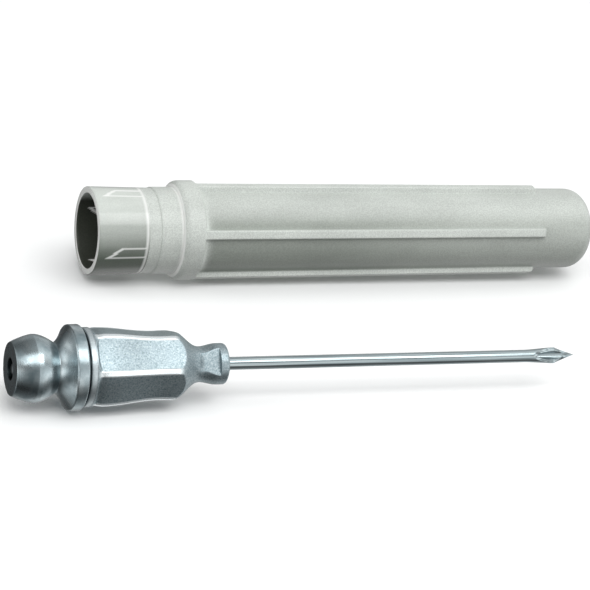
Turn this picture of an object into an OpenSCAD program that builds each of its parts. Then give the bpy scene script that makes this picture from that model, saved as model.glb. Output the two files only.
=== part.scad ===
// Grease injector needle with its protective sheath lying beside it.
// Millimetres. The needle's axis is X and the point is towards +X.
// The origin is on that axis, at the middle of the widest band of the grease head.
// +Z is up, and both pieces lie on the plane z = -flange_d / 2.

/* [Grease fitting] */
// Largest diameter of the head, which the coupler grips
head_d = 6.5; // [5.6:0.1:7.4]
// Diameter of the flat front face
face_d = 5.1; // [3.6:0.1:5.4]
// Length of the nose in front of the widest band
nose_len = 2; // [1.2:0.1:3]
// How far the nose bulges outside a plain cone
nose_bulge = 0.07; // [0:0.01:0.15]
// Length of the widest band
land_len = 0.4; // [0.2:0.05:0.8]
// Length of the rounded back of the head
back_len = 1.8; // [1.2:0.1:2.6]
// How far the back bulges outside a plain cone
back_bulge = 0.13; // [0:0.01:0.2]
// Diameter of the neck behind the head
throat_d = 4.8; // [4:0.1:5.2]
// Length of the neck
throat_len = 1.25; // [0.8:0.05:2.4]
// How far the flange's front is hollowed below a plain cone
dish_depth = 0.25; // [0:0.01:0.35]
// Diameter of the flange
flange_d = 8.2; // [7.8:0.1:9.8]
// Thickness of the flange
flange_t = 1.2; // [0.6:0.1:2.4]
// Bevel on the flange's edges
flange_bevel = 0.05; // [0.02:0.01:0.15]
// Open gap between the flange and the hub
hub_gap = 0.23; // [0.1:0.01:0.6]
// Diameter of the shank that is pressed into the hub
shank_d = 5; // [4.4:0.1:5.4]
// Length of the shank
shank_len = 4.5; // [3:0.1:6]

/* [Check valve] */
// Diameter of the hole in the front face
inlet_d = 2.05; // [1.6:0.05:2.2]
// Length of that hole, down to the ball's seat
inlet_len = 0.62; // [0.5:0.01:1]
// Diameter of the ball
ball_d = 2.4; // [2.3:0.05:2.8]
// Radial clearance round the ball for the grease
ball_clearance = 0.2; // [0.1:0.05:0.25]
// Gap left between the closed ball and its seat
seat_gap = 0.05; // [0.02:0.01:0.08]
// Wire diameter of the spring
wire_d = 0.25; // [0.18:0.01:0.3]
// Radial clearance of the spring in its chamber
spring_clearance = 0.3; // [0.15:0.05:0.4]
// Turns of the spring
spring_turns = 9; // [5:1:12]
// Diameter of the opening in the staked end
outlet_d = 1.6; // [1:0.1:1.8]
// Thickness of the staked end that holds the spring
stake_t = 0.5; // [0.3:0.05:0.8]

/* [Hub] */
// Length of the hub
hub_len = 14.35; // [13.2:0.05:18]
// Diameter of the plain band beside the flange
rim_d = 7.6; // [7:0.1:8]
// Width of that band
rim_w = 0.6; // [0.3:0.05:1.2]
// Diameter over the ridges at the widest place
barrel_d = 7.84; // [7.4:0.02:8]
// Distance of the widest place from the hub's back
barrel_at = 1.8; // [1.2:0.1:3]
// Diameter over the ridges at the waist
waist_d = 6.92; // [6.6:0.02:7.2]
// Distance of the waist from the hub's back
waist_at = 7.3; // [6:0.1:8]
// Diameter over the ridges at the shoulder
shoulder_d = 6.98; // [6.6:0.02:7.4]
// Distance of the shoulder from the hub's back
shoulder_at = 8.6; // [8.2:0.1:9]
// Number of ridges
ridges = 6; // [4:1:8]
// Width of a ridge
ridge_w = 0.7; // [0.5:0.05:1.2]
// Depth of the flat faces below the ridges
face_depth = 0.4; // [0.2:0.05:0.5]
// Angle of the first ridge above the front of the hub
ridge_turn = 16; // [0:1:60]
// Diameter of the crimped neck
crimp_d = 3.46; // [3:0.02:4]
// Distance of the narrowest place of the neck from the hub's back
crimp_at = 11.75; // [11:0.05:12.2]
// Distance across the two crimped flats
crimp_flats = 3; // [2.4:0.02:3.3]
// Length of the crimped flats
crimp_len = 1.9; // [1:0.1:2.2]
// Angle of the first crimped flat above the front of the hub
crimp_turn = 34; // [0:1:90]
// Diameter of the end collar
collar_d = 4; // [3.6:0.1:4.6]
// Length of the end collar
collar_len = 0.85; // [0.5:0.05:1]
// Rounding of the collar's edge
collar_round = 0.25; // [0.1:0.05:0.4]
// Diameter of the grease passage inside the hub
passage_d = 1.6; // [1.4:0.1:2.2]

/* [Needle tube] */
// Outside diameter of the tube, 18 gauge
tube_d = 1.27; // [1.1:0.01:1.5]
// Inside diameter of the tube
tube_bore = 0.84; // [0.6:0.01:0.9]
// Length of the needle that stands out of the hub
needle_len = 38.1; // [25:0.1:50]
// Length of the tube held inside the hub
needle_hold = 7.8; // [5:0.1:8.5]
// Length of the ground point
point_len = 5.1; // [3:0.1:6]
// Width of the flared point at its widest
point_w = 1.62; // [1.5:0.02:1.8]
// Distance of the widest place from the tip
point_flare = 2.5; // [1.5:0.1:2.8]
// Thickness left at the very tip
tip_t = 0.05; // [0.02:0.01:0.1]
// Angle of the ground face above the front of the needle
point_turn = 26; // [0:1:90]

/* [Sheath] */
// Radial clearance of the sheath's socket on the hub's widest place
socket_clearance = 0.03; // [0.02:0.01:0.05]
// Radial clearance of the sheath's bore on the hub, where the socket ends
bore_clearance = 0.08; // [0.05:0.01:0.2]
// Depth of the socket in the open end
socket_len = 5.4; // [3:0.1:6]
// Room left between the seated needle's point and the closed end
point_room = 4.22; // [1:0.02:8]
// Thickness of the wall at the open end
skirt_wall = 0.7; // [0.4:0.05:1]
// How much the skirt narrows over its length, on the diameter
skirt_draft = 0.3; // [0:0.05:0.4]
// Length of the skirt, up to the small step outside
skirt_len = 6.8; // [6.2:0.1:8]
// Wall of the plain band between the skirt and the ring
band_wall = 0.91; // [0.5:0.01:1.2]
// Distance of the ring from the open end
ring_at = 9.9; // [9:0.1:11]
// Rounding between the band and the ring
ring_round = 0.7; // [0.4:0.05:0.9]
// Width of the ring
ring_w = 1.5; // [0.8:0.1:3]
// Number of ribs
ribs = 5; // [3:1:8]
// Width of a rib
rib_w = 0.95; // [0.6:0.05:1.4]
// Height of the ring above the band
ring_h = 0.69; // [0.5:0.01:1]
// How far the ribs lie below the ring
rib_drop = 0.06; // [0.03:0.01:0.2]
// How much the sheath narrows from the ring to the ribs' ends, on the diameter
body_draft = 0.36; // [0.1:0.02:0.5]
// How much the bore narrows from the socket to the closed end, on the diameter
bore_draft = 0.6; // [0.2:0.05:0.8]
// Length of the plain stretch at the closed end
nose_plain = 6.6; // [4:0.1:8]
// Rounding of the closed end
nose_round = 2.25; // [1:0.05:2.6]
// Thickness of the closed end
end_wall = 0.9; // [0.6:0.1:2]

/* [Stored place] */
// Distance of the sheath's axis behind the needle's axis
stored_y = 28.66; // [14:0.01:40]
// Distance of the sheath's open end in front of the origin
stored_x = 13.08; // [0:0.01:30]

/* [Hidden] */

smooth = 96;        // segments of a full turn
arc_steps = 6;      // segments of a rounded corner
blend_steps = 8;    // segments between two places of a curved outline
wire_sides = 6;     // sides of the spring wire
wire_steps = 16;    // segments in one turn of the spring
overshoot = 1;      // how far a cutter reaches past what it cuts

// Places along X on the grease fitting
x_face = -land_len / 2 - nose_len;
x_throat = land_len / 2 + back_len;
x_flange = x_throat + throat_len;
x_shank = x_flange + flange_t;
x_shank_end = x_shank + shank_len;
x_stake = x_shank_end - stake_t;
x_seat = x_face + inlet_len;

// The closed ball stands on the edge of the inlet
ball_r = ball_d / 2;
chamber_r = ball_r + ball_clearance;
x_ball = x_seat + sqrt(pow(ball_r, 2) - pow(inlet_d / 2, 2)) + seat_gap;

// The spring's first turn stands on the ball, and its last on the staked end
wire_r = wire_d / 2;
coil_r = chamber_r - spring_clearance - wire_r;
x_coil = x_ball + sqrt(pow(ball_r + wire_r, 2) - pow(coil_r, 2)) + seat_gap;
coil_len = x_stake - wire_r - seat_gap - x_coil;

// Places along X on the hub and the needle
x_hub = x_shank + hub_gap;
x_hub_end = x_hub + hub_len;
x_socket_end = x_shank_end + hub_gap;
x_needle = x_hub_end - needle_hold;
x_tip = x_hub_end + needle_len;
collar_at = hub_len - collar_len;

// The sheath slides over the hub until its open end meets the flange. Its socket clears the hub's
// widest place, and its bore clears the ridges where they stand inside the socket's inner end.
socket_d = barrel_d + 2 * socket_clearance;
past_barrel = min(1, max(0, (socket_len - hub_gap - barrel_at) / (waist_at - barrel_at)));
ridge_d = waist_d + (barrel_d - waist_d) * (1 + cos(180 * past_barrel)) / 2;
bore_d = max(ridge_d, shoulder_d) + 2 * bore_clearance;
mouth_r = socket_d / 2 + skirt_wall;
sheath_len = x_tip - x_shank + point_room + end_wall;
band_r = bore_d / 2 + band_wall;
ring_r = max(band_r, mouth_r - skirt_draft / 2) + ring_h;
ribs_end = sheath_len - nose_plain;
stored_z = max(ring_r, mouth_r) - max(flange_d, barrel_d) / 2;

// Points of an arc from angle a0 to a1, seen with X to the right and the radius up
function arc(x, r, round, a0, a1) =
    [for (i = [0:arc_steps]) let (a = a0 + (a1 - a0) * i / arc_steps)
        [x + round * cos(a), r + round * sin(a)]];

// Points of a smooth curve that is level at both of its ends
function swell(x0, r0, x1, r1) =
    [for (i = [0:blend_steps]) let (t = i / blend_steps)
        [x0 + (x1 - x0) * t, r0 + (r1 - r0) * (1 - cos(180 * t)) / 2]];

// Points of a line that bulges outwards by rise at its middle
function bow(x0, r0, x1, r1, rise) =
    [for (i = [0:blend_steps]) let (t = i / blend_steps)
        [x0 + (x1 - x0) * t, r0 + (r1 - r0) * t + 4 * rise * t * (1 - t)]];

// Outline over the ridges of the hub, from the plain band to the shoulder
function crest() = concat(
    swell(rim_w, rim_d / 2, barrel_at, barrel_d / 2),
    swell(barrel_at, barrel_d / 2, waist_at, waist_d / 2),
    swell(waist_at, waist_d / 2, shoulder_at, shoulder_d / 2));

// A turned solid: the outline holds [place along X, radius] and starts and ends on the axis
module turned(outline) {
    rotate([0, 90, 0])
        rotate_extrude($fn = smooth)
            mirror([1, -1]) polygon(outline);
}

// A round rod or hole along X
module rod(x0, x1, d) {
    translate([x0, 0, 0]) rotate([0, 90, 0]) cylinder(h = x1 - x0, d = d, $fn = smooth);
}

// Turns its children from straight up to the given angle above the front (-Y)
module turned_up(angle) {
    rotate([90 - angle, 0, 0]) children();
}

// A plate drawn with X to the right and height up, with its width across Y
module plate(outline, width) {
    rotate([90, 0, 0]) linear_extrude(height = width, center = true) polygon(outline);
}

module grease_fitting() {
    head_r = head_d / 2;
    flange_r = flange_d / 2;
    outline = concat(
        [[x_face, 0]],
        bow(x_face, face_d / 2, -land_len / 2, head_r, nose_bulge),
        bow(land_len / 2, head_r, x_throat, throat_d / 2, back_bulge),
        bow(x_throat, throat_d / 2, x_flange, flange_r - flange_bevel, -dish_depth),
        [[x_flange + flange_bevel, flange_r], [x_shank - flange_bevel, flange_r],
         [x_shank, flange_r - flange_bevel], [x_shank, shank_d / 2],
         [x_shank_end, shank_d / 2], [x_shank_end, 0]]);
    color("slategray")
    difference() {
        turned(outline);
        rod(x_face - overshoot, x_seat + overshoot, inlet_d);
        rod(x_seat, x_stake, 2 * chamber_r);
        rod(x_stake - overshoot, x_shank_end + overshoot, outlet_d);
    }
}

module check_ball() {
    color("gainsboro") translate([x_ball, 0, 0]) sphere(d = ball_d, $fn = smooth);
}

module check_spring() {
    rings = spring_turns * wire_steps;
    points = [for (i = [0:rings]) for (j = [0:wire_sides - 1])
        let (turn = 360 * i / wire_steps, side = 360 * j / wire_sides,
             r = coil_r + wire_r * cos(side))
        [x_coil + coil_len * i / rings + wire_r * sin(side), r * cos(turn), r * sin(turn)]];
    sides = [for (i = [0:rings - 1]) for (j = [0:wire_sides - 1])
        let (k = (j + 1) % wire_sides, a = i * wire_sides, b = a + wire_sides)
        [a + j, b + j, b + k, a + k]];
    first = [for (j = [0:wire_sides - 1]) j];
    last = [for (j = [wire_sides - 1:-1:0]) rings * wire_sides + j];
    color("silver") polyhedron(points, concat(sides, [first, last]));
}

// The space outside one flat face, between two neighbouring ridges
module face_cut() {
    half_turn = 180 / ridges;
    apex = ridge_w / 2 / sin(half_turn);
    reach = barrel_d;
    floor_line = [for (p = crest()) [p[0], p[1] - face_depth]];
    floor_end = floor_line[len(floor_line) - 1][1];
    intersection() {
        plate(concat([[rim_w, reach]], floor_line, [[hub_len, floor_end], [hub_len, reach]]), 2 * reach);
        rotate([90, 0, 90])
            linear_extrude(height = hub_len)
                polygon([[0, apex], [reach * tan(half_turn), apex + reach],
                         [-reach * tan(half_turn), apex + reach]]);
    }
}

module hub() {
    outline = concat(
        [[0, 0], [0, rim_d / 2]],
        crest(),
        swell(shoulder_at, shoulder_d / 2, crimp_at, crimp_d / 2),
        swell(crimp_at, crimp_d / 2, collar_at, collar_d / 2),
        arc(hub_len - collar_round, collar_d / 2 - collar_round, collar_round, 90, 0),
        [[hub_len, 0]]);
    flat_h = collar_d;
    color("lightsteelblue")
    difference() {
        translate([x_hub, 0, 0])
        difference() {
            turned(outline);
            for (i = [0:ridges - 1])
                turned_up(ridge_turn + (i + 0.5) * 360 / ridges) face_cut();
            for (i = [0:1])
                turned_up(crimp_turn + 180 * i)
                    translate([collar_at - crimp_len, -collar_d / 2, crimp_flats / 2])
                        cube([crimp_len, collar_d, flat_h]);
        }
        rod(x_hub - overshoot, x_socket_end, shank_d);
        rod(x_socket_end - overshoot, x_needle, passage_d);
        rod(x_needle - overshoot, x_hub_end + overshoot, tube_d);
    }
}

module needle_tube() {
    tube_r = tube_d / 2;
    point_r = point_w / 2;
    x_grind = x_tip - point_len;
    outline = [[x_grind, -tube_r], [x_tip - point_flare, -point_r], [x_tip, 0],
               [x_tip - point_flare, point_r], [x_grind, tube_r]];
    color("silver")
    turned_up(point_turn)
    difference() {
        union() {
            rod(x_needle, x_tip - point_flare, tube_d);
            intersection() {
                translate([0, 0, point_r - tube_r]) rod(x_grind, x_tip, point_w);
                translate([0, 0, -tube_r])
                    linear_extrude(height = point_w) polygon(outline);
            }
        }
        rod(x_needle - overshoot, x_tip + overshoot, tube_bore);
        plate([[x_grind, tube_r], [x_tip, tip_t - tube_r], [x_tip + overshoot, tip_t - tube_r],
               [x_tip + overshoot, point_w], [x_grind, point_w]], 2 * point_w);
    }
}

module sheath() {
    waist_r = mouth_r - skirt_draft / 2;
    core_r = band_r - body_draft / 2;
    bore_end_r = (bore_d - bore_draft) / 2;
    x_end = sheath_len - end_wall;
    x_ring_end = ring_at + ring_w;
    outside = concat(
        [[0, socket_d / 2], [0, mouth_r], [skirt_len, waist_r], [skirt_len, band_r],
         [ring_at - ring_round, band_r]],
        arc(ring_at, ring_r - ring_round, ring_round, 180, 90),
        [[x_ring_end, ring_r], [x_ring_end + ring_h, band_r]],
        arc(sheath_len - nose_round, core_r - nose_round, nose_round, 90, 0),
        [[sheath_len, 0]]);
    inside = concat(
        [[x_end, 0]],
        arc(x_end - nose_round + end_wall, bore_end_r - nose_round + end_wall, nose_round - end_wall, 0, 90),
        [[socket_len, bore_d / 2], [socket_len, socket_d / 2]]);
    rib_foot = (band_r + bore_d / 2) / 2;
    rib_r = ring_r - rib_drop;
    rib_end_r = rib_r - body_draft / 2;
    rib_bevel = ring_h / 2;
    rib_outline = [[ring_at, rib_foot], [ring_at, rib_r], [ribs_end - rib_bevel, rib_end_r],
                   [ribs_end, rib_end_r - rib_bevel], [ribs_end, rib_foot - body_draft / 2]];
    color([0.85, 0.87, 0.85, 0.6])
    translate([stored_x, stored_y, stored_z])
    union() {
        turned(concat(outside, inside));
        for (i = [0:ribs - 1])
            turned_up(90 + i * 360 / ribs) plate(rib_outline, rib_w);
    }
}

grease_fitting();
check_ball();
check_spring();
hub();
needle_tube();
sheath();
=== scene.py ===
import math

import bmesh
import bpy
from mathutils import Matrix, Vector


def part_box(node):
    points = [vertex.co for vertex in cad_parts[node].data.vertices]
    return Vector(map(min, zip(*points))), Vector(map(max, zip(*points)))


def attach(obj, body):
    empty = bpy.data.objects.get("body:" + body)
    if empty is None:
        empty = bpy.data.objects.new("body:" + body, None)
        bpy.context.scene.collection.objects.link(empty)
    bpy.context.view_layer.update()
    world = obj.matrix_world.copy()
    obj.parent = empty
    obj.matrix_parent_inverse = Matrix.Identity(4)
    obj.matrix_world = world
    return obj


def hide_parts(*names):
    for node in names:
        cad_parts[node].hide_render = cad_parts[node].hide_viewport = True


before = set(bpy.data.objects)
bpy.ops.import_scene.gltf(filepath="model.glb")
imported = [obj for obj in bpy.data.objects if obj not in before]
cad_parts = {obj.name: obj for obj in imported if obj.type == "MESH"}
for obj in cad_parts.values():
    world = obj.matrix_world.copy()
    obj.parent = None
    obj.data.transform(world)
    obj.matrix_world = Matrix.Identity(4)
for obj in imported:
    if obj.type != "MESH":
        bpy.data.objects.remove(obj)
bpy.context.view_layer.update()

MM = 0.001

# ---------------------------------------------------------------- sizes, in millimetres


def box_mm(node):
    """Lowest and highest corner of a CAD node in millimetres."""
    low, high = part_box(node)
    return low / MM, high / MM


FIT_LOW, FIT_HIGH = box_mm("grease_fitting")
HUB_LOW, HUB_HIGH = box_mm("hub")
TUBE_LOW, TUBE_HIGH = box_mm("needle_tube")
SHEATH_LOW, SHEATH_HIGH = box_mm("sheath")
BALL_LOW, BALL_HIGH = box_mm("check_ball")
SPRING_LOW, SPRING_HIGH = box_mm("check_spring")

# Grease fitting
X_FACE = FIT_LOW.x
X_SHANK_END = FIT_HIGH.x
FLANGE_R = FIT_HIGH.z
HEAD_R = 3.25
FACE_R = 2.55
LAND = 0.4
THROAT_R = 2.4
X_THROAT = 2.0
X_FLANGE = 3.25
X_SHANK = 4.45
SHANK_R = 2.5
INLET_R = 1.025
INLET_LEN = 0.62
CHAMBER_R = 1.4
OUTLET_R = 0.8
STAKE_T = 0.5
FLANGE_BEVEL = 0.12
NOSE_BULGE, BACK_BULGE, DISH_DEPTH = 0.07, 0.13, 0.25

# Hub, along its length from its back
HUB_LEN = HUB_HIGH.x - HUB_LOW.x
RIM_W, RIM_R, RIM_ROUND = 0.6, 3.8, 0.14
RIDGES, RIDGE_TURN = 6, 16
RIDGE_HALF = 0.2
RIDGE_FLANK = 0.17
FACE_EDGE_DROP = 0.13
FACE_DEPTH = 0.4
PLACES = ((0.6, 3.8), (1.8, 3.92), (7.3, 3.46), (8.6, 3.49), (11.75, 1.73), (13.5, 2.0))
SHOULDER_AT = 8.6
CRIMP_TURN, CRIMP_FLAT = 34, 1.5
CRIMP_FROM, CRIMP_TO = 11.6, 13.45
COLLAR_ROUND = 0.25
SHANK_SLACK, NEEDLE_SLACK = 0.02, 0.01
PASSAGE_R = 0.8
NEEDLE_SEAT = TUBE_LOW.x - HUB_LOW.x
SHANK_ROOM = X_SHANK_END - HUB_LOW.x + 0.2
# Where the hub's sections lie: (from, to, how many), closer together where the shape turns
HUB_SECTIONS = ((RIM_W, 1.6, 20), (1.6, 8.2, 44), (8.2, 10.2, 30), (10.2, CRIMP_TO - 0.001, 36))

# Needle tube
TUBE_R, TUBE_BORE_R = 0.635, 0.42
POINT_LEN, POINT_FLARE, POINT_HALF = 5.1, 2.5, 0.81
HEEL_SHARE, TOE_SHARE = 0.83, 0.46
POINT_TURN = 26
X_FLARE = TUBE_HIGH.x - POINT_LEN - 1.4
X_WIDEST = TUBE_HIGH.x - POINT_FLARE

# Check spring
WIRE_R, COILS = 0.125, 9.0

# Sheath, along its length from the open end
SHEATH_LEN = SHEATH_HIGH.x - SHEATH_LOW.x
SHEATH_Y = (SHEATH_LOW.y + SHEATH_HIGH.y) / 2
RING_R = (SHEATH_HIGH.y - SHEATH_LOW.y) / 2
SHEATH_Z = SHEATH_LOW.z + RING_R
SOCKET_R, SOCKET_LEN = 3.95, 5.4
# The grip ribs drawn in the socket only as painted highlight lines along their edges and slanted start: turn
# of the first, step to the next, half width and half a line, in degrees; then where they begin, how far that
# slants, and how long the slanted start is
GRIP_TURN, GRIP_STEP, GRIP_HALF, GRIP_LINE = -7.5, 90, 6.5, 1.3
GRIP_FROM, GRIP_SLANT, GRIP_START = 1.65, 0.65, 0.5
MOUTH_R, SKIRT_END_R, SKIRT_LEN = 4.65, 4.5, 6.8
BAND_R = 4.6
RING_AT, RING_ROUND, RING_W = 9.9, 0.7, 1.5
RIB_DROP, RIB_HALF, RIBS = 0.06, 0.475, 5
BODY_DRAFT = 0.18
BORE_R, BORE_END_R = 3.69, 3.39
FLUTE_LEN = 1.1
NOSE_PLAIN, NOSE_ROUND, END_WALL = 6.6, 2.25, 0.9
X_RING_END = RING_AT + RING_W
X_RIBS_END = SHEATH_LEN - NOSE_PLAIN
X_DOME = SHEATH_LEN - NOSE_ROUND
FROSTED, GLOSSY, BORE = 0, 1, 2

# Columns of points round each piece
FITTING_COLUMNS, BALL_COLUMNS, HUB_COLUMNS, NEEDLE_COLUMNS, FLUTE_COLUMNS = 192, 64, 360, 96, 28

# Stage: the floor, and where the camera stands and looks
FLOOR_Z, FLOOR_HALF = SHEATH_LOW.z * MM, 1.5
CAMERA_TURNS = (-23.4, 24.0, 9.1)
CAMERA_TARGET, CAMERA_DEPTH = (19.775, 0, 0), 254.0
# Focal length and the target's place in the picture, as shares of the picture's width
FOCAL, TARGET_ASIDE, TARGET_ABOVE = 4.4576271, -0.1085, -0.1159

# ---------------------------------------------------------------- small helpers


def linear(hex_colour):
    """An sRGB hex colour as linear red, green, blue and alpha."""
    parts = [int(hex_colour[i:i + 2], 16) / 255 for i in (1, 3, 5)]
    return tuple(c / 12.92 if c <= 0.04045 else ((c + 0.055) / 1.055) ** 2.4 for c in parts) + (1.0,)


def smoothstep(value, low, high):
    """0 below low, 1 above high, and a soft slope between them."""
    t = min(1.0, max(0.0, (value - low) / (high - low)))
    return t * t * (3 - 2 * t)


def swell(x, places):
    """Radius at x on a curve that is level at each of its places."""
    if x <= places[0][0]:
        return places[0][1]
    for (x0, r0), (x1, r1) in zip(places, places[1:]):
        if x <= x1:
            return r0 + (r1 - r0) * (1 - math.cos(math.pi * (x - x0) / (x1 - x0))) / 2
    return places[-1][1]


def bow(x0, r0, x1, r1, rise, count=16):
    """Places on a line from one place to another that bulges by rise at its middle."""
    shares = [i / count for i in range(count + 1)]
    return [(x0 + (x1 - x0) * t, r0 + (r1 - r0) * t + 4 * rise * t * (1 - t)) for t in shares]


def spread(start, end, count):
    """Places from start to end, both included."""
    return [start + (end - start) * i / count for i in range(count + 1)]


def arc(x, r, rounding, start, end, count):
    """Places on an arc round (x, r) from one turn to another in degrees, without the first."""
    turns = [math.radians(turn) for turn in spread(start, end, count)[1:]]
    return [(x + rounding * math.cos(a), r + rounding * math.sin(a)) for a in turns]


def filleted(corners, steps=4):
    """An outline from (x, radius, rounding) corners, each corner turned into an arc."""
    points = []
    for i, (x, r, rounding) in enumerate(corners):
        here = Vector((x, r))
        before = Vector(corners[i - 1][:2]) - here
        after = Vector(corners[(i + 1) % len(corners)][:2]) - here
        if rounding <= 0 or before.length < 1e-6 or after.length < 1e-6:
            points.append((x, r))
            continue
        cut = min(rounding, before.length * 0.45, after.length * 0.45)
        a, b = here + before.normalized() * cut, here + after.normalized() * cut
        for k in range(steps + 1):
            t = k / steps
            p = a * (1 - t) ** 2 + here * 2 * t * (1 - t) + b * t * t
            points.append((p.x, p.y))
    return points


def on_axis(x, radius, angle, centre=(0.0, 0.0)):
    """A point round the X axis, its angle in degrees from the front (-Y) towards the top."""
    a = math.radians(angle)
    return (x * MM, (centre[0] - radius * math.cos(a)) * MM, (centre[1] + radius * math.sin(a)) * MM)


def circle(x, radius, count):
    """A ring of points round the X axis."""
    return [on_axis(x, radius, 360 * i / count) for i in range(count)]


def loft(name, rings, closed=False, finishes=None, poles=(None, None)):
    """A mesh through rings of equal count.

    closed joins the last ring to the first, finishes gives each span a material, and poles close the ends.
    """
    count = len(rings[0])
    verts = [p for ring in rings for p in ring]
    faces, slots = [], []
    spans = len(rings) if closed else len(rings) - 1
    for i in range(spans):
        a, b = i * count, ((i + 1) % len(rings)) * count
        for k in range(count):
            n = (k + 1) % count
            faces.append((a + k, a + n, b + n, b + k))
            slots.append(finishes[i] if finishes else 0)
    for end, pole in enumerate(poles):
        if pole is None:
            continue
        verts.append(pole)
        base = (len(rings) - 1) * count if end else 0
        for k in range(count):
            n = (k + 1) % count
            tip = len(verts) - 1
            faces.append((base + k, base + n, tip) if end else (base + n, base + k, tip))
            slots.append((finishes[-1] if end else finishes[0]) if finishes else 0)
    mesh = bpy.data.meshes.new(name)
    mesh.from_pydata(verts, [], faces)
    for polygon, finish in zip(mesh.polygons, slots):
        polygon.material_index = finish
    mesh.update()
    return mesh


def face_outwards(mesh):
    """Turns every face outwards on one closed shell."""
    bm = bmesh.new()
    bm.from_mesh(mesh)
    bmesh.ops.recalc_face_normals(bm, faces=bm.faces)
    bm.to_mesh(mesh)
    bm.free()


def piece(name, mesh, body, node, materials, sharp):
    """Puts a finished mesh on its CAD body in place of a CAD node. Edges over sharp degrees stay sharp."""
    face_outwards(mesh)
    mesh.shade_smooth()
    mesh.set_sharp_from_angle(angle=math.radians(sharp))
    for material in materials:
        mesh.materials.append(material)
    made = bpy.data.objects.new(name, mesh)
    bpy.context.scene.collection.objects.link(made)
    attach(made, body)
    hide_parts(node)


def paint(mesh, name, value_at):
    """Stores a number from 0 to 1 on every vertex for a material to read."""
    attribute = mesh.attributes.new(name, "FLOAT", "POINT")
    for i, vertex in enumerate(mesh.vertices):
        attribute.data[i].value = value_at(vertex.co / MM)


def output_of(source):
    """The output socket meant by a node or a socket."""
    return source if isinstance(source, bpy.types.NodeSocket) else source.outputs[0]


def add(tree, kind, settings=None, links=None):
    """Adds a node. settings are its properties or input values, links join outputs to its inputs."""
    made = tree.nodes.new(kind)
    for key, value in (settings or {}).items():
        if isinstance(key, str) and hasattr(made, key):
            setattr(made, key, value)
        else:
            made.inputs[key].default_value = value
    for key, source in (links or {}).items():
        tree.links.new(output_of(source), made.inputs[key])
    return made


def ramp(tree, source, stops):
    """A soft colour ramp over a value, from (place, grey or hex) stops."""
    made = add(tree, "ShaderNodeValToRGB", links={"Fac": source})
    elements = made.color_ramp.elements
    made.color_ramp.interpolation = "EASE"
    while len(elements) < len(stops):
        elements.new(0.5)
    for element, (place, colour) in zip(elements, stops):
        element.position = place
        element.color = linear(colour) if isinstance(colour, str) else (colour, colour, colour, 1.0)
    return made


def new_material(name):
    """A material with only a Principled BSDF and its output."""
    material = bpy.data.materials.new(name)
    material.use_nodes = True
    tree = material.node_tree
    tree.nodes.clear()
    shader = tree.nodes.new("ShaderNodeBsdfPrincipled")
    output = tree.nodes.new("ShaderNodeOutputMaterial")
    tree.links.new(shader.outputs["BSDF"], output.inputs["Surface"])
    return material, tree, shader


def connect(tree, shader, inputs):
    """Gives a shader's named inputs the output of a node or a constant value."""
    for key, value in inputs.items():
        if isinstance(value, float):
            shader.inputs[key].default_value = value
        else:
            tree.links.new(output_of(value), shader.inputs[key])


def grain(tree, size_mm, stretch=(1, 1, 1), detail=3.0):
    """Noise on the piece whose spots are about size_mm across, stretched along its axes."""
    place = add(tree, "ShaderNodeTexCoord")
    scale = tuple(1 / (s * size_mm * MM) for s in stretch)
    mapping = add(tree, "ShaderNodeMapping", {"Scale": scale}, {"Vector": place.outputs["Object"]})
    return add(tree, "ShaderNodeTexNoise", {"Scale": 1.0, "Detail": detail}, {"Vector": mapping})


def bump(tree, height, depth_mm, strength, before=None):
    """Bump from a height texture whose full range is depth_mm, on top of the bump before it."""
    links = {"Height": height}
    if before:
        links["Normal"] = before
    return add(tree, "ShaderNodeBump", {"Distance": depth_mm * MM, "Strength": strength}, links)


# ---------------------------------------------------------------- materials


def turned_plated_steel():
    """Zinc plated steel turned on a lathe: a cool satin shine with fine rings and faint stains."""
    material, tree, shader = new_material("zinc_plated_turned_steel")
    stains = grain(tree, 1.6, detail=5.0)
    rings = grain(tree, 0.09, stretch=(1, 60, 60), detail=2.0)
    pits = grain(tree, 0.12, detail=2.0)
    connect(tree, shader, {
        "Base Color": ramp(tree, stains, [(0.3, "#76858A"), (0.5, "#98A5A9"), (0.72, "#B3BEC1")]),
        "Roughness": ramp(tree, stains, [(0.3, 0.34), (0.7, 0.22)]),
        "Normal": bump(tree, pits, 0.006, 0.5, bump(tree, rings, 0.006, 0.8)),
        "Metallic": 1.0})
    return material


def shaded_bore():
    """The drilled holes of the fitting: bare steel, its dark colour painted shade for the inside of the
    holes, with a faint mottle.
    """
    material, tree, shader = new_material("drilled_steel_painted_shade")
    dark_mottle = grain(tree, 0.5)
    connect(tree, shader, {
        # Near black colour: painted shade inside the holes.
        "Base Color": ramp(tree, dark_mottle, [(0.3, "#1C2122"), (0.7, "#3A4143")]),
        "Roughness": ramp(tree, dark_mottle, [(0.3, 0.3), (0.7, 0.5)]),
        "Normal": bump(tree, dark_mottle, 0.01, 0.5),
        "Metallic": 1.0})
    return material


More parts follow.
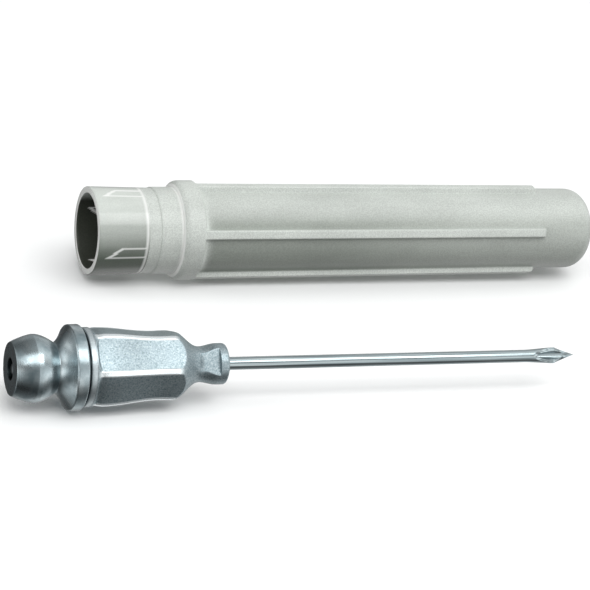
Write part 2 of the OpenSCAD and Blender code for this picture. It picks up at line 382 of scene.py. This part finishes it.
def plated_casting():
    """Nickel plated hub with an as-pressed grain: matt faces, and ridges rubbed smoother and painted
    brighter, part wear and part painted highlight.
    """
    material, tree, shader = new_material("nickel_plated_pressed_hub")
    wear_and_highlight = add(tree, "ShaderNodeAttribute", {"attribute_name": "ridge"}).outputs["Fac"]
    specks = grain(tree, 0.14, detail=4.0)
    clouds = grain(tree, 2.2)
    faces = ramp(tree, specks, [(0.32, "#76868B"), (0.5, "#93A1A6"), (0.68, "#AAB6BA")])
    clouded = add(tree, "ShaderNodeMix", {"data_type": "RGBA", "blend_type": "MULTIPLY", "Factor": 0.35},
                  {"A": faces, "B": ramp(tree, clouds, [(0.3, 0.72), (0.7, 1.0)])})
    # The ridges turn near white: rubbed wear and a painted highlight.
    rubbed_and_highlit = add(tree, "ShaderNodeMix", {"data_type": "RGBA", "B": linear("#E6EDEF")},
                 {"Factor": wear_and_highlight, "A": clouded.outputs["Result"]})
    connect(tree, shader, {
        "Base Color": rubbed_and_highlit.outputs["Result"],
        "Roughness": ramp(tree, wear_and_highlight, [(0.0, 0.42), (1.0, 0.26)]),
        "Normal": bump(tree, specks, 0.02, 0.7),
        "Metallic": 1.0})
    return material


def drawn_stainless():
    """Drawn stainless tube, polished lengthways: long fine streaks of light and dark along the needle."""
    material, tree, shader = new_material("drawn_stainless_tube")
    streaks = grain(tree, 0.12, stretch=(90, 1, 1))
    connect(tree, shader, {
        "Base Color": ramp(tree, streaks, [(0.35, "#7C888B"), (0.55, "#9BA6A9"), (0.7, "#B5BFC0")]),
        "Roughness": ramp(tree, streaks, [(0.3, 0.18), (0.7, 0.1)]),
        "Normal": bump(tree, streaks, 0.008, 0.6),
        "Metallic": 1.0})
    return material


def bearing_steel():
    """Polished bearing steel ball with the faintest haze, its colour darkened as painted shade for lying
    inside the hole.
    """
    material, tree, shader = new_material("polished_bearing_steel")
    haze = grain(tree, 0.5, detail=2.0)
    connect(tree, shader, {
        # Dark colour: painted shade of the hole round the ball.
        "Base Color": ramp(tree, haze, [(0.3, "#6E777A"), (0.7, "#8E979A")]),
        "Roughness": ramp(tree, haze, [(0.3, 0.16), (0.7, 0.08)]),
        "Metallic": 1.0})
    return material


def spring_wire():
    """Hard drawn spring wire: grey, with draw marks."""
    material, tree, shader = new_material("hard_drawn_spring_wire")
    marks = grain(tree, 0.1)
    connect(tree, shader, {
        "Base Color": ramp(tree, marks, [(0.3, "#6D7477"), (0.7, "#959C9F")]),
        "Normal": bump(tree, marks, 0.004, 0.5),
        "Roughness": 0.32,
        "Metallic": 1.0})
    return material


def painted_mix(tree, attribute, low, high):
    """One colour turning into another as a painted number goes from 0 to 1."""
    painted = add(tree, "ShaderNodeAttribute", {"attribute_name": attribute})
    mixed = add(tree, "ShaderNodeMix", {"data_type": "RGBA"})
    tree.links.new(painted.outputs["Fac"], mixed.inputs["Factor"])
    for key, value in (("A", low), ("B", high)):
        if isinstance(value, str):
            mixed.inputs[key].default_value = linear(value)
        else:
            tree.links.new(value, mixed.inputs[key])
    return mixed.outputs["Result"]


def natural_plastic(name, wall_look, edges, speckle, rough, clear, grain_depth):
    """Natural polypropylene, injection moulded: milky, with fine mould grain and painted highlights on its
    edges.

    wall_look is (painted number, colour at 0, colour at 1), the number carrying milkiness and painted light
    and shade, and the next argument is the colour of the painted edge highlights.
    """
    material, tree, shader = new_material(name)
    flow = grain(tree, 2.6, stretch=(3, 1, 1), detail=4.0)
    mould = grain(tree, 0.13, detail=2.0)
    wall = painted_mix(tree, *wall_look)
    for texture, least in ((flow, 0.9), (mould, speckle)):
        shaded = add(tree, "ShaderNodeMix", {"data_type": "RGBA", "blend_type": "MULTIPLY", "Factor": 1.0},
                     {"A": wall, "B": ramp(tree, texture, [(0.35, least), (0.65, 1.0)])})
        wall = shaded.outputs["Result"]
    rough_low, rough_high = rough
    connect(tree, shader, {
        # Edges painted near white: painted highlights.
        "Base Color": painted_mix(tree, "edge", wall, edges),
        "Roughness": ramp(tree, mould, [(0.3, rough_low), (0.7, rough_high)]),
        "Normal": bump(tree, mould, grain_depth, 0.6),
        "IOR": 1.49,
        "Transmission Weight": clear})
    return material


# ---------------------------------------------------------------- pieces


def grease_fitting(plated, bore):
    """The head, neck, flange and hidden shank, hollow from end to end."""
    x_seat = X_FACE + INLET_LEN
    x_stake = X_SHANK_END - STAKE_T
    rim_r = FLANGE_R - FLANGE_BEVEL
    corners = [(X_FACE, INLET_R, 0.08)]
    corners += [(x, r, 0.05) for x, r in bow(X_FACE, FACE_R, -LAND / 2, HEAD_R, NOSE_BULGE)]
    corners += [(x, r, 0.05) for x, r in bow(LAND / 2, HEAD_R, X_THROAT, THROAT_R, BACK_BULGE)]
    corners += [(x, r, 0.02) for x, r in bow(X_THROAT, THROAT_R, X_FLANGE, rim_r, -DISH_DEPTH)[1:]]
    corners += [
        (X_FLANGE + FLANGE_BEVEL, FLANGE_R, 0.06), (X_SHANK - FLANGE_BEVEL, FLANGE_R, 0.06),
        (X_SHANK, rim_r, 0.06), (X_SHANK, SHANK_R, 0.05), (X_SHANK_END, SHANK_R, 0.15),
        (X_SHANK_END, OUTLET_R, 0.1), (x_stake, OUTLET_R, 0.1), (x_stake, CHAMBER_R, 0.1),
        (x_seat, CHAMBER_R, 0.1), (x_seat, INLET_R, 0.04)]
    outline = filleted(corners)
    after = outline[1:] + outline[:1]
    drilled = [int(max(r, r_next) < CHAMBER_R + 0.01) for (_, r), (_, r_next) in zip(outline, after)]
    rings = [circle(x, r, FITTING_COLUMNS) for x, r in outline]
    mesh = loft("grease_fitting_body", rings, closed=True, finishes=drilled)
    piece("grease_fitting_body", mesh, "needle_assembly", "grease_fitting",
          [plated, bore], 30)


def check_ball(material):
    """The ball behind the hole in the head."""
    centre = (BALL_LOW + BALL_HIGH) / 2
    radius = (BALL_HIGH.x - BALL_LOW.x) / 2
    turns = [math.radians(turn) for turn in spread(0, 180, 32)[1:-1]]
    rings = [circle(centre.x - radius * math.cos(a), radius * math.sin(a), BALL_COLUMNS) for a in turns]
    poles = ((BALL_LOW.x * MM, 0, 0), (BALL_HIGH.x * MM, 0, 0))
    mesh = loft("valve_ball", rings, poles=poles)
    piece("valve_ball", mesh, "check_ball", "check_ball", [material], 180)


def set_input(modifier, tree, name, value):
    """Sets a Geometry Nodes input by its socket's identifier."""
    for item in tree.interface.items_tree:
        if item.item_type == "SOCKET" and item.in_out == "INPUT" and item.name == name:
            modifier[item.identifier] = value


def coil_tree(material):
    """Geometry Nodes: a helix along X from named sizes, swept with round wire."""
    tree = bpy.data.node_groups.new("coil_spring", "GeometryNodeTree")
    tree.interface.new_socket("Geometry", in_out="INPUT", socket_type="NodeSocketGeometry")
    for name in ("Turns", "Coil Radius", "Length", "Wire Radius", "Start"):
        tree.interface.new_socket(name, in_out="INPUT", socket_type="NodeSocketFloat")
    tree.interface.new_socket("Geometry", in_out="OUTPUT", socket_type="NodeSocketGeometry")
    given = add(tree, "NodeGroupInput")
    helix = add(tree, "GeometryNodeCurveSpiral", {"Resolution": 32}, {
        "Rotations": given.outputs["Turns"], "Start Radius": given.outputs["Coil Radius"],
        "End Radius": given.outputs["Coil Radius"], "Height": given.outputs["Length"]})
    shift = add(tree, "ShaderNodeCombineXYZ", links={"X": given.outputs["Start"]})
    laid = add(tree, "GeometryNodeTransform", {"Rotation": (0.0, math.pi / 2, 0.0)},
               {"Geometry": helix, "Translation": shift})
    ring = add(tree, "GeometryNodeCurvePrimitiveCircle", {"Resolution": 12},
               {"Radius": given.outputs["Wire Radius"]})
    wire = add(tree, "GeometryNodeCurveToMesh", {"Fill Caps": True}, {"Curve": laid, "Profile Curve": ring})
    real = add(tree, "GeometryNodeRealizeInstances", links={"Geometry": wire})
    finished = add(tree, "GeometryNodeSetMaterial", {"Material": material}, {"Geometry": real})
    output = add(tree, "NodeGroupOutput")
    tree.links.new(finished.outputs[0], output.inputs[0])
    return tree


def grown(name, tree, sizes):
    """Runs a Geometry Nodes tree with named sizes and returns its result as a plain mesh."""
    seed = bpy.data.objects.new(name + "_seed", bpy.data.meshes.new(name + "_seed"))
    bpy.context.scene.collection.objects.link(seed)
    modifier = seed.modifiers.new("shape", "NODES")
    modifier.node_group = tree
    for key, value in sizes.items():
        set_input(modifier, tree, key, value)
    graph = bpy.context.evaluated_depsgraph_get()
    mesh = bpy.data.meshes.new_from_object(seed.evaluated_get(graph))
    mesh.name = name
    bpy.data.objects.remove(seed)
    return mesh


def check_spring(material):
    """The coil spring behind the ball, at its closed-valve length."""
    coil_r = (SPRING_HIGH.z - SPRING_LOW.z) / 2 - WIRE_R
    start, end = SPRING_LOW.x + WIRE_R, SPRING_HIGH.x - WIRE_R
    mesh = grown("valve_spring", coil_tree(material), {
        "Turns": COILS, "Coil Radius": coil_r * MM, "Length": (end - start) * MM,
        "Wire Radius": WIRE_R * MM, "Start": start * MM})
    mesh.materials.clear()
    piece("valve_spring", mesh, "needle_assembly", "check_spring", [material], 60)


def nearest_turn(angle, first, step):
    """Degrees from an angle to the nearest of the turns first, first + step, and so on."""
    off = (angle - first) % step
    return min(off, step - off)


def ridge_share(radius, angle):
    """1 on top of a ridge, falling to 0 at its foot."""
    from_ridge = math.radians(nearest_turn(angle, RIDGE_TURN, 360 / RIDGES)) * radius
    return 1 - smoothstep(from_ridge, RIDGE_HALF, RIDGE_HALF + RIDGE_FLANK)


def hub_radius(x, angle):
    """Radius of the hub's outside at a distance from its back and an angle round it."""
    turned = swell(x, PLACES)
    half_step = 180 / RIDGES
    from_face = nearest_turn(angle, RIDGE_TURN + half_step, 360 / RIDGES)
    crest = swell(min(x, SHOULDER_AT), PLACES)
    edge = math.radians(half_step) - (RIDGE_HALF + RIDGE_FLANK) / crest
    crowned = FACE_DEPTH + (FACE_EDGE_DROP - FACE_DEPTH) * min(1.0, math.radians(from_face) / edge) ** 2
    ridged = crest - crowned * (1 - ridge_share(turned, angle))
    lag = (from_face / half_step) ** 3
    begun = smoothstep(x, RIM_W + 0.05 + 0.3 * lag, RIM_W + 0.3 + 0.4 * lag)
    body = turned + (min(turned, ridged) - turned) * begun
    from_flat = math.radians(nearest_turn(angle, CRIMP_TURN, 180))
    crimped = CRIMP_FLAT / max(0.1, math.cos(from_flat))
    pressed = smoothstep(x, CRIMP_FROM - 0.35, CRIMP_FROM + 0.3) * (1 if x < CRIMP_TO else 0)
    if crimped < body:
        body += (crimped - body) * pressed
    return body


def hub(material):
    """The hub: plain rim, ridged body, shoulder, crimped neck and collar, with its passage inside."""
    x0 = HUB_LOW.x
    rim = filleted([(0, SHANK_R + SHANK_SLACK, 0.0), (0, RIM_R, RIM_ROUND), (RIM_W - 0.06, RIM_R, 0.05),
                    (RIM_W - 0.03, RIM_R - 0.05, 0.0)])
    rings = [circle(x0 + x, r, HUB_COLUMNS) for x, r in rim[:-1]]
    rows = [RIM_W]
    for begin, end, count in HUB_SECTIONS:
        rows += spread(begin, end, count)[1:]
    rows += [CRIMP_TO + 0.03] + spread(CRIMP_TO + 0.06, HUB_LEN - COLLAR_ROUND, 5)
    turns = [i * 360 / HUB_COLUMNS for i in range(HUB_COLUMNS)]
    rings += [[on_axis(x0 + x, hub_radius(x, turn), turn) for turn in turns] for x in rows]
    needle_r, collar_r = TUBE_R + NEEDLE_SLACK, PLACES[-1][1]
    inside = arc(HUB_LEN - COLLAR_ROUND, collar_r - COLLAR_ROUND, COLLAR_ROUND, 90, 0, 6)
    inside += [(HUB_LEN, TUBE_R + 0.12), (HUB_LEN - 0.1, needle_r), (NEEDLE_SEAT + 0.1, needle_r),
               (NEEDLE_SEAT, PASSAGE_R), (SHANK_ROOM + 0.05, PASSAGE_R), (SHANK_ROOM, SHANK_R + SHANK_SLACK)]
    rings += [circle(x0 + x, r, HUB_COLUMNS) for x, r in inside]
    mesh = loft("ridged_hub", rings, closed=True)
    # Paints the ridges lighter: wear, and a painted highlight.
    paint(mesh, "ridge", hub_wear_and_highlight)
    piece("ridged_hub", mesh, "needle_assembly", "hub", [material], 40)


def hub_wear_and_highlight(point):
    """How rubbed the hub is at a point, and how brightly painted as highlight: the ridges most, the rim and
    the inside a little, the rest not.
    """
    radius = math.hypot(point.y, point.z)
    angle = math.degrees(math.atan2(point.z, -point.y)) % 360
    x = point.x - HUB_LOW.x
    if x < RIM_W or radius < 1.0:
        return 0.35
    on_body = smoothstep(x, RIM_W, RIM_W + 0.4) * (1 - smoothstep(x, SHOULDER_AT, SHOULDER_AT + 0.8))
    return ridge_share(swell(x, PLACES), angle) * on_body


def needle_end(angle, inner):
    """Where the ground face cuts the tube at an angle from the side away from that face."""
    off = abs((angle + 180) % 360 - 180)
    c = math.cos(math.radians(off))
    heel = POINT_LEN - POINT_FLARE
    if inner:
        return X_WIDEST + (POINT_FLARE * TOE_SHARE * c if c > 0 else heel * HEEL_SHARE * c)
    if off < 90:
        return TUBE_HIGH.x - POINT_FLARE * math.sin(math.radians(off))
    return X_WIDEST + heel * c


def needle_ring(share, inner):
    """One ring of the needle's point, a share of the way from where the flare starts to the ground face."""
    ring = []
    radius = TUBE_BORE_R if inner else TUBE_R
    flare = 0 if inner else POINT_HALF - TUBE_R
    up = math.radians(POINT_TURN)
    for i in range(NEEDLE_COLUMNS):
        turn = 360 * i / NEEDLE_COLUMNS
        x = X_FLARE + (needle_end(turn, inner) - X_FLARE) * share
        wide = radius + flare * smoothstep(x, X_FLARE + 0.4, X_WIDEST)
        a = math.radians(turn)
        side, depth = wide * math.sin(a), -radius * math.cos(a)
        y = -depth * math.cos(up) + side * math.sin(up)
        z = depth * math.sin(up) + side * math.cos(up)
        ring.append((x * MM, y * MM, z * MM))
    return ring


def straight_rings(inner, places):
    """Rings of the straight part of the needle, in line with its point."""
    first = needle_ring(0, inner)
    return [[(x * MM, y, z) for _, y, z in first] for x in places]


def needle_tube(material):
    """The hollow needle with its flared, ground point."""
    shares = spread(0, 1, 40)
    outer = [needle_ring(share, False) for share in shares]
    inner = [needle_ring(share, True) for share in shares]
    places = spread(TUBE_LOW.x, X_FLARE, 12)[:-1]
    rings = straight_rings(False, places) + outer + inner[::-1] + straight_rings(True, places[::-1])
    mesh = loft("lancet_needle", rings, closed=True)
    piece("lancet_needle", mesh, "needle_assembly", "needle_tube", [material], 40)


# One rib's half outline: (distance from its side, as a share of the rounding there; share of its height)
RIB_FOOT = ((1.0, 0.0), (0.5, 0.03), (0.2, 0.12), (0.0, 0.3))
RIB_TOP = ((0.0, 0.8), (0.25, 0.94), (0.6, 0.99), (1.0, 1.0))
FOOT_ROUND, TOP_ROUND = 0.22, 0.16
TOP_FLAT, TOP_CROWN = 0.15, 0.3


def rib_side():
    """(distance from the rib's middle, share of height) from the foot to the middle of the top."""
    side = [(RIB_HALF + FOOT_ROUND * u, k) for u, k in RIB_FOOT]
    side += [(RIB_HALF - TOP_ROUND * u, k) for u, k in RIB_TOP]
    return side + [(TOP_FLAT, 1.0)]


def sheath_ring(x, core, top=0.0):
    """A cross-section of the sheath: round, or with ribs up to the radius top where that is larger."""
    side = rib_side()
    whole = [(-u, k) for u, k in side] + [(0.0, 1.0)] + [(u, k) for u, k in reversed(side)]
    start = math.degrees(math.asin(side[0][0] / core))
    ring = []
    for rib in range(RIBS):
        middle = 90 + rib * 360 / RIBS
        for u, k in whole:
            height = math.sqrt(core ** 2 - u ** 2)
            if top > core:
                height = height * (1 - k) + math.sqrt(top ** 2 - (u * TOP_CROWN) ** 2) * k
            ring.append((math.hypot(u, height), middle + math.degrees(math.atan2(u, height))))
        ring += [(core, middle + turn) for turn in spread(start, 360 / RIBS - start, FLUTE_COLUMNS)[1:-1]]
    return [on_axis(SHEATH_LOW.x + x, radius, angle, (SHEATH_Y, SHEATH_Z)) for radius, angle in ring]


def core_radius(x):
    """Radius of the sheath between its ribs."""
    return BAND_R - BODY_DRAFT * max(0.0, x - X_RING_END) / (X_DOME - X_RING_END)


def rib_top(x):
    """Radius over the sheath's ribs."""
    return RING_R - RIB_DROP - BODY_DRAFT * (x - X_RING_END) / (X_RIBS_END - X_RING_END)


def sheath_outside():
    """(place from the open end, core radius, rib radius) of the sheath's outer sections."""
    nose_r = BAND_R - BODY_DRAFT - NOSE_ROUND
    plain = [(0.0, MOUTH_R - 0.1), (0.03, MOUTH_R - 0.03), (0.1, MOUTH_R - 0.005)]
    plain += [(x, MOUTH_R + (SKIRT_END_R - MOUTH_R) * x / SKIRT_LEN) for x in spread(0.3, SKIRT_LEN, 26)]
    plain += [(SKIRT_LEN + 0.03, BAND_R - 0.04), (SKIRT_LEN + 0.08, BAND_R)]
    plain += [(x, BAND_R) for x in spread(SKIRT_LEN + 0.3, RING_AT - RING_ROUND, 8)]
    plain += arc(RING_AT, RING_R - RING_ROUND, RING_ROUND, 180, 90, 10)
    plain += [(x, RING_R) for x in spread(RING_AT + 0.2, X_RING_END - 0.1, 5)]
    rows = [(x, r, 0) for x, r in plain]
    for x in spread(X_RING_END, X_RING_END + FLUTE_LEN, 12):
        share = (x - X_RING_END) / FLUTE_LEN
        core = RING_R + (core_radius(x) - RING_R) * math.sqrt(1 - (1 - share) ** 2)
        rows.append((x, core, max(core, rib_top(x))))
    ribbed = spread(X_RING_END + FLUTE_LEN + 0.3, X_RIBS_END - 0.3, 28)
    rows += [(x, core_radius(x), rib_top(x)) for x in ribbed]
    for past, drop in ((-0.15, 0.06), (-0.05, 0.16), (0.0, 0.3), (0.03, 0.5)):
        core = core_radius(X_RIBS_END + past)
        rows.append((X_RIBS_END + past, core, max(core, rib_top(X_RIBS_END) - drop)))
    nose = [(x, core_radius(x)) for x in spread(X_RIBS_END + 0.06, X_DOME, 10)]
    nose += arc(X_DOME, nose_r, NOSE_ROUND, 90, 0, 14)
    nose += [(SHEATH_LEN, nose_r * share) for share in (0.8, 0.6, 0.45)]
    return rows + [(x, r, 0) for x, r in nose]


def grip_edge(x, angle):
    """1 where a painted highlight line marks the edges and the slanted start of a grip rib of the socket, 0
    elsewhere.
    """
    off = (angle - GRIP_TURN + GRIP_STEP / 2) % GRIP_STEP - GRIP_STEP / 2
    begins = GRIP_FROM + GRIP_SLANT * off / GRIP_HALF
    if x < begins or x > SOCKET_LEN or abs(off) > GRIP_HALF + GRIP_LINE:
        return 0.0
    near_side = abs(abs(off) - GRIP_HALF) < GRIP_LINE
    return 1.0 if near_side or x < begins + GRIP_START else 0.0


def sheath_inside():
    """The sheath's inner sections, from the open end to the closed end."""
    x_end = SHEATH_LEN - END_WALL
    inner_round = NOSE_ROUND - END_WALL
    rows = [(0.0, SOCKET_R + 0.07), (0.05, SOCKET_R + 0.02), (0.12, SOCKET_R)]
    rows += [(x, SOCKET_R) for x in spread(0.4, SOCKET_LEN - 0.05, 24)]
    rows += [(SOCKET_LEN, SOCKET_R - 0.03), (SOCKET_LEN + 0.06, BORE_R + 0.02), (SOCKET_LEN + 0.15, BORE_R)]
    rows += [(x, BORE_R + (BORE_END_R - BORE_R) * (x - SOCKET_LEN) / (x_end - SOCKET_LEN))
             for x in spread(SOCKET_LEN + 0.8, x_end - inner_round, 24)]
    rows += arc(x_end - inner_round, BORE_END_R - inner_round, inner_round, 90, 0, 8)
    return rows + [(x_end, 1.2)]


def sheath_place(point):
    """A point of the sheath as its place from the open end, its radius and its angle."""
    y, z = point.y - SHEATH_Y, point.z - SHEATH_Z
    return point.x - SHEATH_LOW.x, math.hypot(y, z), math.degrees(math.atan2(z, -y))


def thickness_and_shade_look(point):
    """How milky the wall looks at a point: 0 low down in the thin flutes, 1 on the ribs and the ring; the
    flutes are painted lighter at the top and darker below as painted light and shade.
    """
    x, radius, angle = sheath_place(point)
    if radius > core_radius(x) + 0.12:
        return 1.0
    flute = smoothstep(x, X_RING_END, X_RING_END + 1.4) * (1 - 0.5 * smoothstep(x, 20, X_RIBS_END + 1.5))
    # Painted shade: the flutes darken below their upper part, by height round the axis.
    return 1.0 - flute * (1 - 0.8 * smoothstep(math.sin(math.radians(angle)), 0.48, 0.86))


def on_skirt(radius):
    """Whether a point near the open end is on the outside of the wall."""
    return radius > SOCKET_R + 0.2


def edge_look(point):
    """1 on the narrow edges painted white as highlights: the rim, the inner step, the ring's start, the grip
    ribs.
    """
    x, radius, angle = sheath_place(point)
    # Painted highlights on the rim and the ring's start.
    if x < 0.02 or abs(x - (RING_AT - RING_ROUND)) < 0.1:
        return 1.0
    if on_skirt(radius) and abs(x - SOCKET_LEN) < 0.14:
        return 0.9
    if x < SOCKET_LEN:
        return grip_edge(x, angle)
    return 0.0


def painted_light_look(point):
    """Painted light and shade on the socket's wall: lightest at the top, darker towards the bottom; inside,
    painted light at the top, only near the open end.
    """
    x, radius, angle = sheath_place(point)
    height = math.sin(math.radians(angle))
    if on_skirt(radius):
        return smoothstep(height, -0.35, 0.92)
    return smoothstep(height, 0.45, 0.85) * (1 - smoothstep(x, 3.0, 6.0))


def sheath(frosted, glossy, bore):
    """The ribbed sheath, one closed wall with its socket and bore inside."""
    outside = sheath_outside()
    inside = [sheath_ring(x, r) for x, r in sheath_inside()]
    finishes = [BORE] * (len(inside) - 1) + [GLOSSY]
    finishes += [GLOSSY if x < SOCKET_LEN else FROSTED for x, _, _ in outside]
    rings = inside[::-1] + [sheath_ring(x, core, top) for x, core, top in outside]
    axis = (SHEATH_Y * MM, SHEATH_Z * MM)
    poles = (((SHEATH_HIGH.x - END_WALL) * MM, *axis), (SHEATH_HIGH.x * MM, *axis))
    mesh = loft("ribbed_sheath", rings, finishes=finishes, poles=poles)
    # Paints milkiness with painted shade, painted edge highlights, and painted light and shade on the
    # socket.
    for name, look in (("thick_and_shade", thickness_and_shade_look), ("edge", edge_look), ("painted_light", painted_light_look)):
        paint(mesh, name, look)
    piece("ribbed_sheath", mesh, "sheath", "sheath", [frosted, glossy, bore], 40)


# ---------------------------------------------------------------- stage


def camera():
    """Looks from the front, a little above and to the left, so that the needle runs across the picture."""
    azimuth, elevation, roll = map(math.radians, CAMERA_TURNS)
    right = Vector((math.cos(azimuth), math.sin(azimuth), 0))
    level = math.cos(elevation)
    back = Vector((math.sin(azimuth) * level, -math.cos(azimuth) * level, math.sin(elevation)))
    up = back.cross(right)
    turned_right = right * math.cos(roll) + up * math.sin(roll)
    turned_up = up * math.cos(roll) - right * math.sin(roll)
    data = bpy.data.cameras.new("camera")
    data.sensor_width = 36
    data.lens = FOCAL * data.sensor_width
    data.clip_start, data.clip_end = 0.01, 10
    aside, above = TARGET_ASIDE * CAMERA_DEPTH / FOCAL, TARGET_ABOVE * CAMERA_DEPTH / FOCAL
    eye = Vector(CAMERA_TARGET) - turned_right * aside - turned_up * above + back * CAMERA_DEPTH
    made = bpy.data.objects.new("camera", data)
    made.matrix_world = Matrix((
        (turned_right.x, turned_up.x, back.x, eye.x * MM),
        (turned_right.y, turned_up.y, back.y, eye.y * MM),
        (turned_right.z, turned_up.z, back.z, eye.z * MM),
        (0, 0, 0, 1)))
    bpy.context.scene.collection.objects.link(made)
    bpy.context.scene.camera = made


def floor():
    """A plain pale floor under both pieces, which throws no light back up at them."""
    corners = ((-1, -1), (1, -1), (1, 1), (-1, 1))
    mesh = bpy.data.meshes.new("floor")
    mesh.from_pydata([(x * FLOOR_HALF, y * FLOOR_HALF, FLOOR_Z) for x, y in corners], [], [(0, 1, 2, 3)])
    material, tree, shader = new_material("matt_white_card")
    connect(tree, shader, {"Roughness": 0.9})
    shader.inputs["Base Color"].default_value = linear("#F4F5F5")
    mesh.materials.append(material)
    made = bpy.data.objects.new("floor", mesh)
    made.visible_glossy = False
    made.visible_diffuse = False
    bpy.context.scene.collection.objects.link(made)


def soft_light(name, place, target, size, watts):
    """A square-cornered softbox at a place, facing its target, in metres."""
    data = bpy.data.lights.new(name, "AREA")
    data.shape = "RECTANGLE"
    data.size, data.size_y = size
    data.energy = watts
    made = bpy.data.objects.new(name, data)
    made.location = place
    made.rotation_mode = "QUATERNION"
    made.rotation_quaternion = (Vector(place) - Vector(target)).to_track_quat("Z", "Y")
    bpy.context.scene.collection.objects.link(made)


# How bright the room is round the needle's axis: (degrees from the front towards the top, brightness)
ROOM = ((-180, 0.25), (-152, 0.2), (-128, 0.4), (-104, 0.7), (-80, 0.3), (-54, 0.1), (-32, 0.25),
        (-14, 0.8), (4, 1.0), (18, 0.9), (34, 0.45), (56, 0.42), (76, 0.85), (98, 1.0), (122, 0.6),
        (140, 0.45), (158, 0.6), (180, 0.25))
# How bright it is from the left end to the right end
LEFT_TO_RIGHT = ((0.0, 1.0), (0.1, 0.95), (0.2, 0.5), (0.32, 0.1), (0.45, 0.25), (0.57, 0.62), (0.8, 0.75),
                 (1.0, 1.0))
ROOM_STRENGTH = 2.15


def studio():
    """A soft pale room: bright above and level in front, dim below, with a dark band left of the middle."""
    world = bpy.data.worlds.new("studio")
    bpy.context.scene.world = world
    world.use_nodes = True
    tree = world.node_tree
    tree.nodes.clear()
    place = add(tree, "ShaderNodeTexCoord")
    axes = add(tree, "ShaderNodeSeparateXYZ", links={"Vector": place.outputs["Generated"]})
    front = add(tree, "ShaderNodeMath", {"operation": "MULTIPLY", 1: -1.0}, {0: axes.outputs["Y"]})
    turn = add(tree, "ShaderNodeMath", {"operation": "ARCTAN2"}, {0: axes.outputs["Z"], 1: front})
    share = add(tree, "ShaderNodeMath", {"operation": "MULTIPLY_ADD", 1: 0.5 / math.pi, 2: 0.5}, {0: turn})
    across = add(tree, "ShaderNodeMath", {"operation": "MULTIPLY_ADD", 1: 0.5, 2: 0.5},
                 {0: axes.outputs["X"]})
    around = ramp(tree, share, [((angle + 180) / 360, light) for angle, light in ROOM])
    along = ramp(tree, across, LEFT_TO_RIGHT)
    sky = add(tree, "ShaderNodeMix", {"data_type": "RGBA", "blend_type": "MULTIPLY", "Factor": 1.0},
              {"A": around, "B": along})
    shade = add(tree, "ShaderNodeBackground", {"Strength": ROOM_STRENGTH}, {"Color": sky.outputs["Result"]})
    add(tree, "ShaderNodeOutputWorld", links={"Surface": shade})
    soft_light("front_softbox", (0.03, -0.27, 0.44), (0.03, 0.01, 0.0), (0.6, 0.3), 1.9)
    settings = bpy.context.scene.view_settings
    settings.view_transform = "Standard"
    settings.look = "None"


camera()
grease_fitting(turned_plated_steel(), shaded_bore())
check_ball(bearing_steel())
check_spring(spring_wire())
hub(plated_casting())
needle_tube(drawn_stainless())
# The frosted wall's two colours carry milkiness and painted shade: dark low in the flutes, light above.
sheath(natural_plastic("frosted_natural_polypropylene", ("thick_and_shade", "#A3AAA2", "#D9DFD9"), "#F6F8F5",
                       0.8, (0.3, 0.42), 0.2, 0.02),
       # The clear wall's two colours are painted shade at the bottom and painted light at the top.
       natural_plastic("clear_natural_polypropylene", ("painted_light", "#727B71", "#DBE1DB"), "#F8FAF7",
                       0.92, (0.12, 0.2), 0.25, 0.004),
       # The bore's near black colour is painted shade inside the sheath; its light colour is painted light
       # near the open end.
       natural_plastic("bore_polypropylene_painted_shade", ("painted_light", "#43473F", "#DFE5E0"), "#FAFBF9",
                       0.75, (0.35, 0.45), 0.0, 0.01))
floor()
studio()
